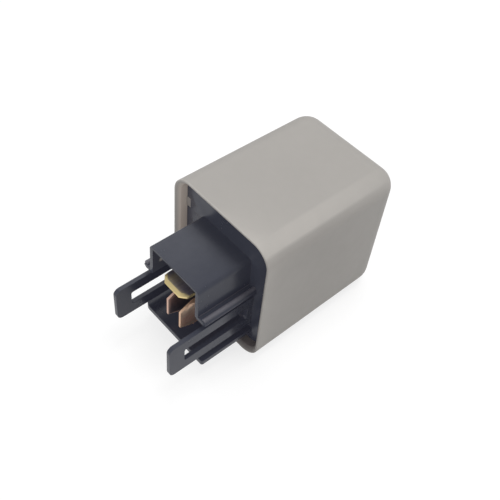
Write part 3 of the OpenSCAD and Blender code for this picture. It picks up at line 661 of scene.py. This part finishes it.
def make_drift():
    """Colour between Dark and Light: slow noise plus a share of a finer one, clamped."""
    tree, inside, outside = group_tree(
        "colour_drift", [("Dark", "c", (0, 0, 0, 1)), ("Light", "c", (1, 1, 1, 1)), ("Scale", "f", 120.0),
                         ("Fine Scale", "f", 900.0), ("Fine Share", "f", 0.2), ("Stretch", "v", (1, 1, 1))],
        [("Color", "c"), ("Mask", "f")])
    where = vector_node(tree, "MULTIPLY", object_place(tree), inside["Stretch"])
    slow = ramp(tree, noise(tree, inside["Scale"], 4.0, 0.55, where), 0.3, 0.7)
    fine = ramp(tree, noise(tree, inside["Fine Scale"], 3.0, 0.6, where), 0.3, 0.7, -1.0, 1.0)
    share = math_node(tree, "MULTIPLY", fine, inside["Fine Share"])
    mask = ramp(tree, math_node(tree, "ADD", slow, share), 0, 1)
    feed(tree, mix_colour(tree, mask, inside["Dark"], inside["Light"]), outside["Color"])
    feed(tree, mask, outside["Mask"])
    return tree


GRAIN, DRIFT = make_grain(), make_drift()
print("groups:", GRAIN.name, DRIFT.name)

# %% [markdown]
# ## Painted highlight and shade, dust and cut faces
# The cover's long edges and rim and the crests of the flange beads get a painted highlight, and the cover's
# lower mouth and a band below its long edge get painted shade. Fine dust sits on the black plastic. On the
# blades the rolled faces have a dull film, while the faces that the punch cut and pressed are fresh metal;
# the darker film on the left upright blade is painted shade. Each is a mask that changes one colour into
# another: from the attribute `edge` and the attribute of painted shade, both worked out with the cover's
# surface, from scattered cells of a Voronoi texture, and from the way a face looks along one axis. The
# inside of the hood is matt, because that pocket of the mould is hard to polish: a box in object coordinates
# says where.

# %% Painted highlight and shade, dust and cut faces
def make_light_and_shade():
    """Color changed to a painted highlight colour where the attribute edge is high, broken up by noise, and
    to a painted shade colour where the shade attribute is high."""
    tree, inside, outside = group_tree(
        "painted_light_and_shade", [("Color", "c", (1, 1, 1, 1)), ("Rubbed", "c", (1, 1, 1, 1)),
                         ("Shaded", "c", (0.19, 0.165, 0.160, 1))], [("Color", "c")])
    edge = tree.nodes.new("ShaderNodeAttribute")
    edge.attribute_name = "edge"
    patchy = ramp(tree, noise(tree, 350.0, 4.0, 0.6, object_place(tree)), 0.3, 0.7, 0.75, 1.0)
    mask = math_node(tree, "MULTIPLY", edge.outputs["Fac"], patchy)
    soil = tree.nodes.new("ShaderNodeAttribute")
    soil.attribute_name = "soil"
    colour = mix_colour(tree, mask, inside["Color"], inside["Rubbed"])
    feed(tree, mix_colour(tree, soil.outputs["Fac"], colour, inside["Shaded"]), outside["Color"])
    return tree


def make_dust():
    """Specks: near the centre of a few Voronoi cells, chosen by the cell's own random colour."""
    tree, inside, outside = group_tree(
        "dust_specks", [("Color", "c", (0, 0, 0, 1)), ("Dust", "c", (0.4, 0.38, 0.35, 1)),
                        ("Scale", "f", 900.0), ("Share", "f", 0.04)], [("Color", "c")])
    cells = tree.nodes.new("ShaderNodeTexVoronoi")
    feed(tree, object_place(tree), cells.inputs["Vector"])
    feed(tree, inside["Scale"], cells.inputs["Scale"])
    near = ramp(tree, cells.outputs["Distance"], 0.12, 0.3, 1.0, 0.0)
    draw = vector_node(tree, "DOT_PRODUCT", cells.outputs["Color"], (1, 0, 0))
    chosen = math_node(tree, "LESS_THAN", draw, inside["Share"])
    mask = math_node(tree, "MULTIPLY", near, chosen)
    feed(tree, mix_colour(tree, mask, inside["Color"], inside["Dust"]), outside["Color"])
    return tree


def make_cut():
    """Film where the size of normal . Axis is at High, Fresh metal where it is at Low."""
    tree, inside, outside = group_tree(
        "cut_faces", [("Film", "c", (0, 0, 0, 1)), ("Fresh", "c", (1, 1, 1, 1)),
                      ("Axis", "v", (0, 0, 1)), ("Low", "f", 0.96), ("High", "f", 0.99)],
        [("Color", "c"), ("Mask", "f")])
    normal = tree.nodes.new("ShaderNodeTexCoord").outputs["Normal"]
    along = math_node(tree, "ABSOLUTE", vector_node(tree, "DOT_PRODUCT", normal, inside["Axis"]))
    mask = ramp(tree, along, inside["Low"], inside["High"], 1.0, 0.0)
    feed(tree, mix_colour(tree, mask, inside["Film"], inside["Fresh"]), outside["Color"])
    feed(tree, mask, outside["Mask"])
    return tree


def make_pocket():
    """Mask 1 inside the box from Low to High: the least of the six distances to its sides is
    above nought."""
    tree, inside, outside = group_tree(
        "matt_pocket", [("Low", "v", (0, 0, 0)), ("High", "v", (1, 1, 1))], [("Mask", "f")])
    where = object_place(tree)
    least = vector_node(tree, "MINIMUM", vector_node(tree, "SUBTRACT", where, inside["Low"]),
                        vector_node(tree, "SUBTRACT", inside["High"], where))
    parts = tree.nodes.new("ShaderNodeSeparateXYZ")
    feed(tree, least, parts.inputs[0])
    least = math_node(tree, "MINIMUM", math_node(tree, "MINIMUM", parts.outputs[0], parts.outputs[1]),
                      parts.outputs[2])
    feed(tree, math_node(tree, "GREATER_THAN", least, 0.0), outside["Mask"])
    return tree


LIGHT_AND_SHADE, DUST, CUT, POCKET = make_light_and_shade(), make_dust(), make_cut(), make_pocket()
print("groups:", LIGHT_AND_SHADE.name, DUST.name, CUT.name, POCKET.name)

# %% [markdown]
# ## From effects to a material
# A finish starts with the drift of its colour. The other effects each take the colour before
# them and change it where their mask says. Gloss follows the drift, and the grain is a bump.
# What is the same all over the surface is set on the shader itself.

# %% One material
BUMP, SWING = 0.5, 0.04


def finish(name, dark, light, rough, metallic=0.0, grain=2500.0, depth=0.01, stretch=(1, 1, 1), drift=120.0,
           fine=(900.0, 0.2), rubbed=None, glow=None, dust=None, cut=None, cut_rough=0.0, pocket=None,
           **constants):
    """A material: drifting colour, then painted highlight and shade, painted light as emission, dust or
    cut faces, gloss and grain. depth is the grain's height in mm. fine and dust are a scale and a share.
    cut is the fresh colour, an axis, Low and High. pocket is two corners and the roughness it adds.
    constants go to the shader's own sockets."""
    material = bpy.data.materials.new(name)
    material.use_nodes = True
    tree = material.node_tree
    shader = tree.nodes["Principled BSDF"].inputs
    for label, value in {"Metallic": metallic, **constants}.items():
        feed(tree, value, shader[label.replace("_", " ")])
    tone = place_group(tree, DRIFT, Dark=dark, Light=light, Scale=drift, Fine_Scale=fine[0],
                       Fine_Share=fine[1], Stretch=stretch)
    colour = tone["Color"]
    gloss = ramp(tree, tone["Mask"], 0, 1, rough + SWING, rough - SWING)
    # Painted highlight and painted shade from the attributes worked out with the surfaces.
    if rubbed:
        colour = place_group(tree, LIGHT_AND_SHADE, Color=colour, Rubbed=rubbed)["Color"]
    # Painted light: an emission on a surface that is no lamp.
    if glow:
        painted_glow_node = tree.nodes.new("ShaderNodeAttribute")
        painted_glow_node.attribute_name = "glow"
        feed(tree, mix_colour(tree, painted_glow_node.outputs["Fac"], (0.0, 0.0, 0.0), glow), shader["Emission Color"])
    if dust:
        colour = place_group(tree, DUST, Color=colour, Scale=dust[0], Share=dust[1])["Color"]
    if cut:
        fresh = place_group(tree, CUT, Film=colour, Fresh=cut[0], Axis=cut[1], Low=cut[2], High=cut[3])
        colour = fresh["Color"]
        gloss = math_node(tree, "ADD", gloss, math_node(tree, "MULTIPLY", fresh["Mask"], cut_rough))
    if pocket:
        matt = place_group(tree, POCKET, Low=pocket[0], High=pocket[1])["Mask"]
        gloss = math_node(tree, "ADD", gloss, math_node(tree, "MULTIPLY", matt, pocket[2]))
    feed(tree, colour, shader["Base Color"])
    feed(tree, gloss, shader["Roughness"])
    bump = tree.nodes.new("ShaderNodeBump")
    feed(tree, BUMP, bump.inputs["Strength"])
    feed(tree, depth * MM, bump.inputs["Distance"])
    feed(tree, place_group(tree, GRAIN, Scale=grain, Stretch=stretch)["Height"], bump.inputs["Height"])
    feed(tree, bump.outputs["Normal"], shader["Normal"])
    return material


print("gloss drifts by", SWING, "to either side")

# %% [markdown]
# ## The finishes
# Grey-beige and black plastic with a fine spark-eroded grain, brass and copper strip with its
# grain stretched the way it was rolled, and behind the base the finishes of the magnet and its
# contacts. The black plastic has a trace of emission: in the photograph even its darkest
# places are a dark blue, probably from light scattered in the lens.

# %% Finishes by slot
STRIP = dict(metallic=1.0, grain=1500, stretch=(1, 0.06, 1), depth=0.008, drift=500, fine=(2500, 0.5))
LOOKS = {
    # The cover's highlight colour is a painted highlight, and its emission colour is painted light.
    "cover_plastic": dict(dark=(0.403, 0.384, 0.362), light=(0.418, 0.399, 0.376), rough=0.5, grain=2600,
                          depth=0.010, drift=70, fine=(500, 0.25), rubbed=(0.505, 0.480, 0.450),
                          glow=(0.185, 0.150, 0.125), Emission_Strength=1.0),
    # The base's highlight colour paints a highlight on the crests of the flange beads.
    "base_plastic": dict(dark=(0.037, 0.041, 0.056), light=(0.045, 0.049, 0.065), rough=0.24, grain=3000,
                         depth=0.002, drift=110, fine=(700, 0.25), rubbed=(0.155, 0.15, 0.167),
                         dust=(520.0, 0.02), Emission_Color=(0.007, 0.007, 0.011), Emission_Strength=1.0,
                         pocket=((-0.0061, -0.0161, 0.0135), (0.0058, -0.0095, 0.0206), 0.5)),
    "terminal_brass": dict(dark=(0.38, 0.34, 0.39), light=(0.60, 0.53, 0.56), rough=0.42,
                           cut=((0.95, 0.78, 0.40), (0, 0, 1), 0.96, 0.99), **STRIP),
    "terminal_copper": dict(dark=(0.94, 0.58, 0.45), light=(1.0, 0.78, 0.62), rough=0.45,
                            cut=((1.0, 0.70, 0.50), (1, 0, 0), 0.96, 0.99), cut_rough=0.05, **STRIP),
    # A darker copy of the copper for the left upright blade: painted shade, with fresh metal on its front
    # faces.
    "shaded_copper": dict(dark=(0.21, 0.19, 0.22), light=(0.30, 0.26, 0.29), rough=0.4,
                        cut=((0.96, 0.70, 0.58), (0, 1, 0), 0.3, 0.15), cut_rough=0.25, **STRIP),
    "iron": dict(dark=(0.34, 0.34, 0.34), light=(0.52, 0.52, 0.51), rough=0.42, metallic=1.0, grain=900),
    "bobbin_plastic": dict(dark=(0.62, 0.58, 0.48), light=(0.74, 0.70, 0.60), rough=0.5),
    "enamel_wire": dict(dark=(0.38, 0.13, 0.05), light=(0.62, 0.26, 0.10), rough=0.25, metallic=1.0,
                        grain=4200, stretch=(0.02, 1, 0.02), depth=0.08, Coat_Weight=0.6),
    "tape": dict(dark=(0.60, 0.42, 0.08), light=(0.78, 0.58, 0.16), rough=0.28, grain=500, depth=0.02),
    "tinned_pin": dict(dark=(0.55, 0.55, 0.54), light=(0.72, 0.72, 0.70), rough=0.35, metallic=1.0),
    "resistor_coat": dict(dark=(0.58, 0.48, 0.30), light=(0.72, 0.62, 0.44), rough=0.3),
    "rivet_metal": dict(dark=(0.52, 0.51, 0.48), light=(0.70, 0.68, 0.64), rough=0.32, metallic=1.0),
    "plated_steel": dict(dark=(0.42, 0.42, 0.42), light=(0.60, 0.60, 0.60), rough=0.38, metallic=1.0),
    "contact_silver": dict(dark=(0.70, 0.69, 0.66), light=(0.86, 0.85, 0.82), rough=0.25, metallic=1.0),
    "spring_bronze": dict(dark=(0.60, 0.38, 0.20), light=(0.78, 0.54, 0.32), rough=0.3, metallic=1.0,
                          grain=1500, stretch=(1, 0.08, 0.08)),
}
FINISHES = {name: finish(name, **look) for name, look in LOOKS.items()}

# %% [markdown]
# ## Finishes on the pieces
# Each node names the slot of its finish. The left upright blade is much darker than the right
# one in the photograph, so it gets a darker copy of the copper finish of its own: painted shade.

# %% Finishes on the pieces
slots = {s["node"]: s["material_slot"] for s in frame["record"]["subparts"]}
for name, node in nodes.items():
    node.data.materials.clear()
    node.data.materials.append(FINISHES[slots[name]])
for piece, slot in dressed:
    # The left upright blade gets the darker copy of the copper: painted shade.
    piece.data.materials.append(FINISHES["shaded_copper" if piece is blades["ground"] else slot])
print(len(FINISHES), "finishes on", len(nodes), "nodes and", len(dressed), "new pieces")

# %% [markdown]
# ## Floor and light
# The photograph is on plain white. The floor is white to the camera, pale in reflections, and
# keeps a soft shadow. A large lamp above and a little behind the relay gives the plain light,
# softer ones stand at its sides and in front, and the pale world fills the shadows.

# %% Floor
FLOOR_HALF, FLOOR_BELOW = 3.0, 0.00002
SHADOW_ENDS, GLOW_ALONE = 0.05, 0.30
BOUNCE_PAINT, SEEN_PAINT, SEEN_GLOW, MIRRORED_GLOW = (0.5, 0.5, 0.5), (0.3, 0.3, 0.3), 0.75, 0.4


def make_floor():
    """A plain plate. Its paint is pale for the light that bounces from it. To the camera the
    paint is darker and an even emission is added, and the two together come to plain white; away
    from the relay, where no shadow falls, the emission takes over. Reflections see the darker
    paint with less emission."""
    mesh = bpy.data.meshes.new("floor")
    corners = [(x * FLOOR_HALF, y * FLOOR_HALF, 0) for x, y in ((-1, -1), (1, -1), (1, 1), (-1, 1))]
    mesh.from_pydata(corners, [], [(0, 1, 2, 3)])
    floor = bpy.data.objects.new("floor", mesh)
    floor.location.z = -FLOOR_BELOW
    bpy.context.scene.collection.objects.link(floor)
    material = bpy.data.materials.new("floor_white")
    material.use_nodes = True
    tree = material.node_tree
    shader = tree.nodes["Principled BSDF"]
    shader.inputs["Roughness"].default_value = 0.9
    shader.inputs["Specular IOR Level"].default_value = 0.0
    shader.inputs["Emission Color"].default_value = (1, 1, 1, 1)
    path = tree.nodes.new("ShaderNodeLightPath")
    seen = path.outputs["Is Camera Ray"]
    away = tree.nodes.new("ShaderNodeVectorMath")
    away.operation = "LENGTH"
    feed(tree, object_place(tree), away.inputs[0])
    distance = ramp(tree, away.outputs["Value"], SHADOW_ENDS, GLOW_ALONE)
    paint = mix_colour(tree, distance, SEEN_PAINT, (0.0, 0.0, 0.0))
    mirrored = math_node(tree, "MAXIMUM", path.outputs["Is Glossy Ray"], path.outputs["Is Transmission Ray"])
    other = mix_colour(tree, mirrored, BOUNCE_PAINT, SEEN_PAINT)
    feed(tree, mix_colour(tree, seen, other, paint), shader.inputs["Base Color"])
    even = math_node(tree, "MULTIPLY", seen, ramp(tree, distance, 0, 1, SEEN_GLOW, 1.0))
    faint = math_node(tree, "MULTIPLY", mirrored, MIRRORED_GLOW)
    feed(tree, math_node(tree, "ADD", even, faint), shader.inputs["Emission Strength"])
    mesh.materials.append(material)
    floor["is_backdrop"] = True


make_floor()
print("floor:", 2 * FLOOR_HALF, "m square")

# %% World and lamps
WORLD_DIM, WORLD_MIRRORED = 0.33, 0.15
LAMP_FAR, LAMP_AIM = 0.6, Vector((0, 0, 0.01))
world = bpy.data.worlds.new("pale_room")
bpy.context.scene.world = world
world.use_nodes = True
tree = world.node_tree
background = tree.nodes["Background"]
background.inputs["Color"].default_value = (1, 1, 1, 1)
path = tree.nodes.new("ShaderNodeLightPath")
mirrored = math_node(tree, "MAXIMUM", path.outputs["Is Glossy Ray"], path.outputs["Is Transmission Ray"])
share = math_node(tree, "MULTIPLY", mirrored, WORLD_MIRRORED)
seen = math_node(tree, "MAXIMUM", path.outputs["Is Camera Ray"], share)
feed(tree, ramp(tree, seen, 0, 1, WORLD_DIM, 1.0), background.inputs["Strength"])


def add_lamp(name, way, size, watts, mirrored=True):
    """A square soft lamp, at LAMP_FAR along a direction from the relay, turned towards it.
    One that is not mirrored lights the relay but shows in no gloss."""
    data = bpy.data.lights.new(name, "AREA")
    data.shape, data.size, data.energy = "SQUARE", size, watts
    lamp = bpy.data.objects.new(name, data)
    lamp.location = Vector(way).normalized() * LAMP_FAR
    lamp.rotation_euler = (lamp.location - LAMP_AIM).to_track_quat("Z", "Y").to_euler()
    lamp.visible_glossy = mirrored
    bpy.context.scene.collection.objects.link(lamp)
    print(name, watts, "W,", size, "m wide")


add_lamp("top_lamp", (0.0, 0.2, 1), 0.26, 1.56, mirrored=False)
add_lamp("right_lamp", (0.75, 0.7, 0.45), 0.40, 0.92, mirrored=False)
add_lamp("front_lamp", (0.1, -0.95, 0.45), 0.45, 1.1)
add_lamp("left_lamp", (-0.7, 0.1, 0.7), 0.40, 0.4)
bpy.context.scene.view_settings.view_transform = "Standard"

# %% [markdown]
# ## Finish
# The box of the visual model is measured, and how far it has grown beyond the box of the
# solids is printed. The visual model has to stay inside the box of the solids.

# %% Finish
def as_lists(box):
    """The two corners of a box as plain lists of numbers."""
    return [[float(c) for c in corner] for corner in box]


bpy.context.view_layer.update()
visual_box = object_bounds()
grown = (np.array(as_lists(visual_box)) - np.array(as_lists(cad_box))) / MM
print("grown by mm:", np.round(grown, 3).tolist())
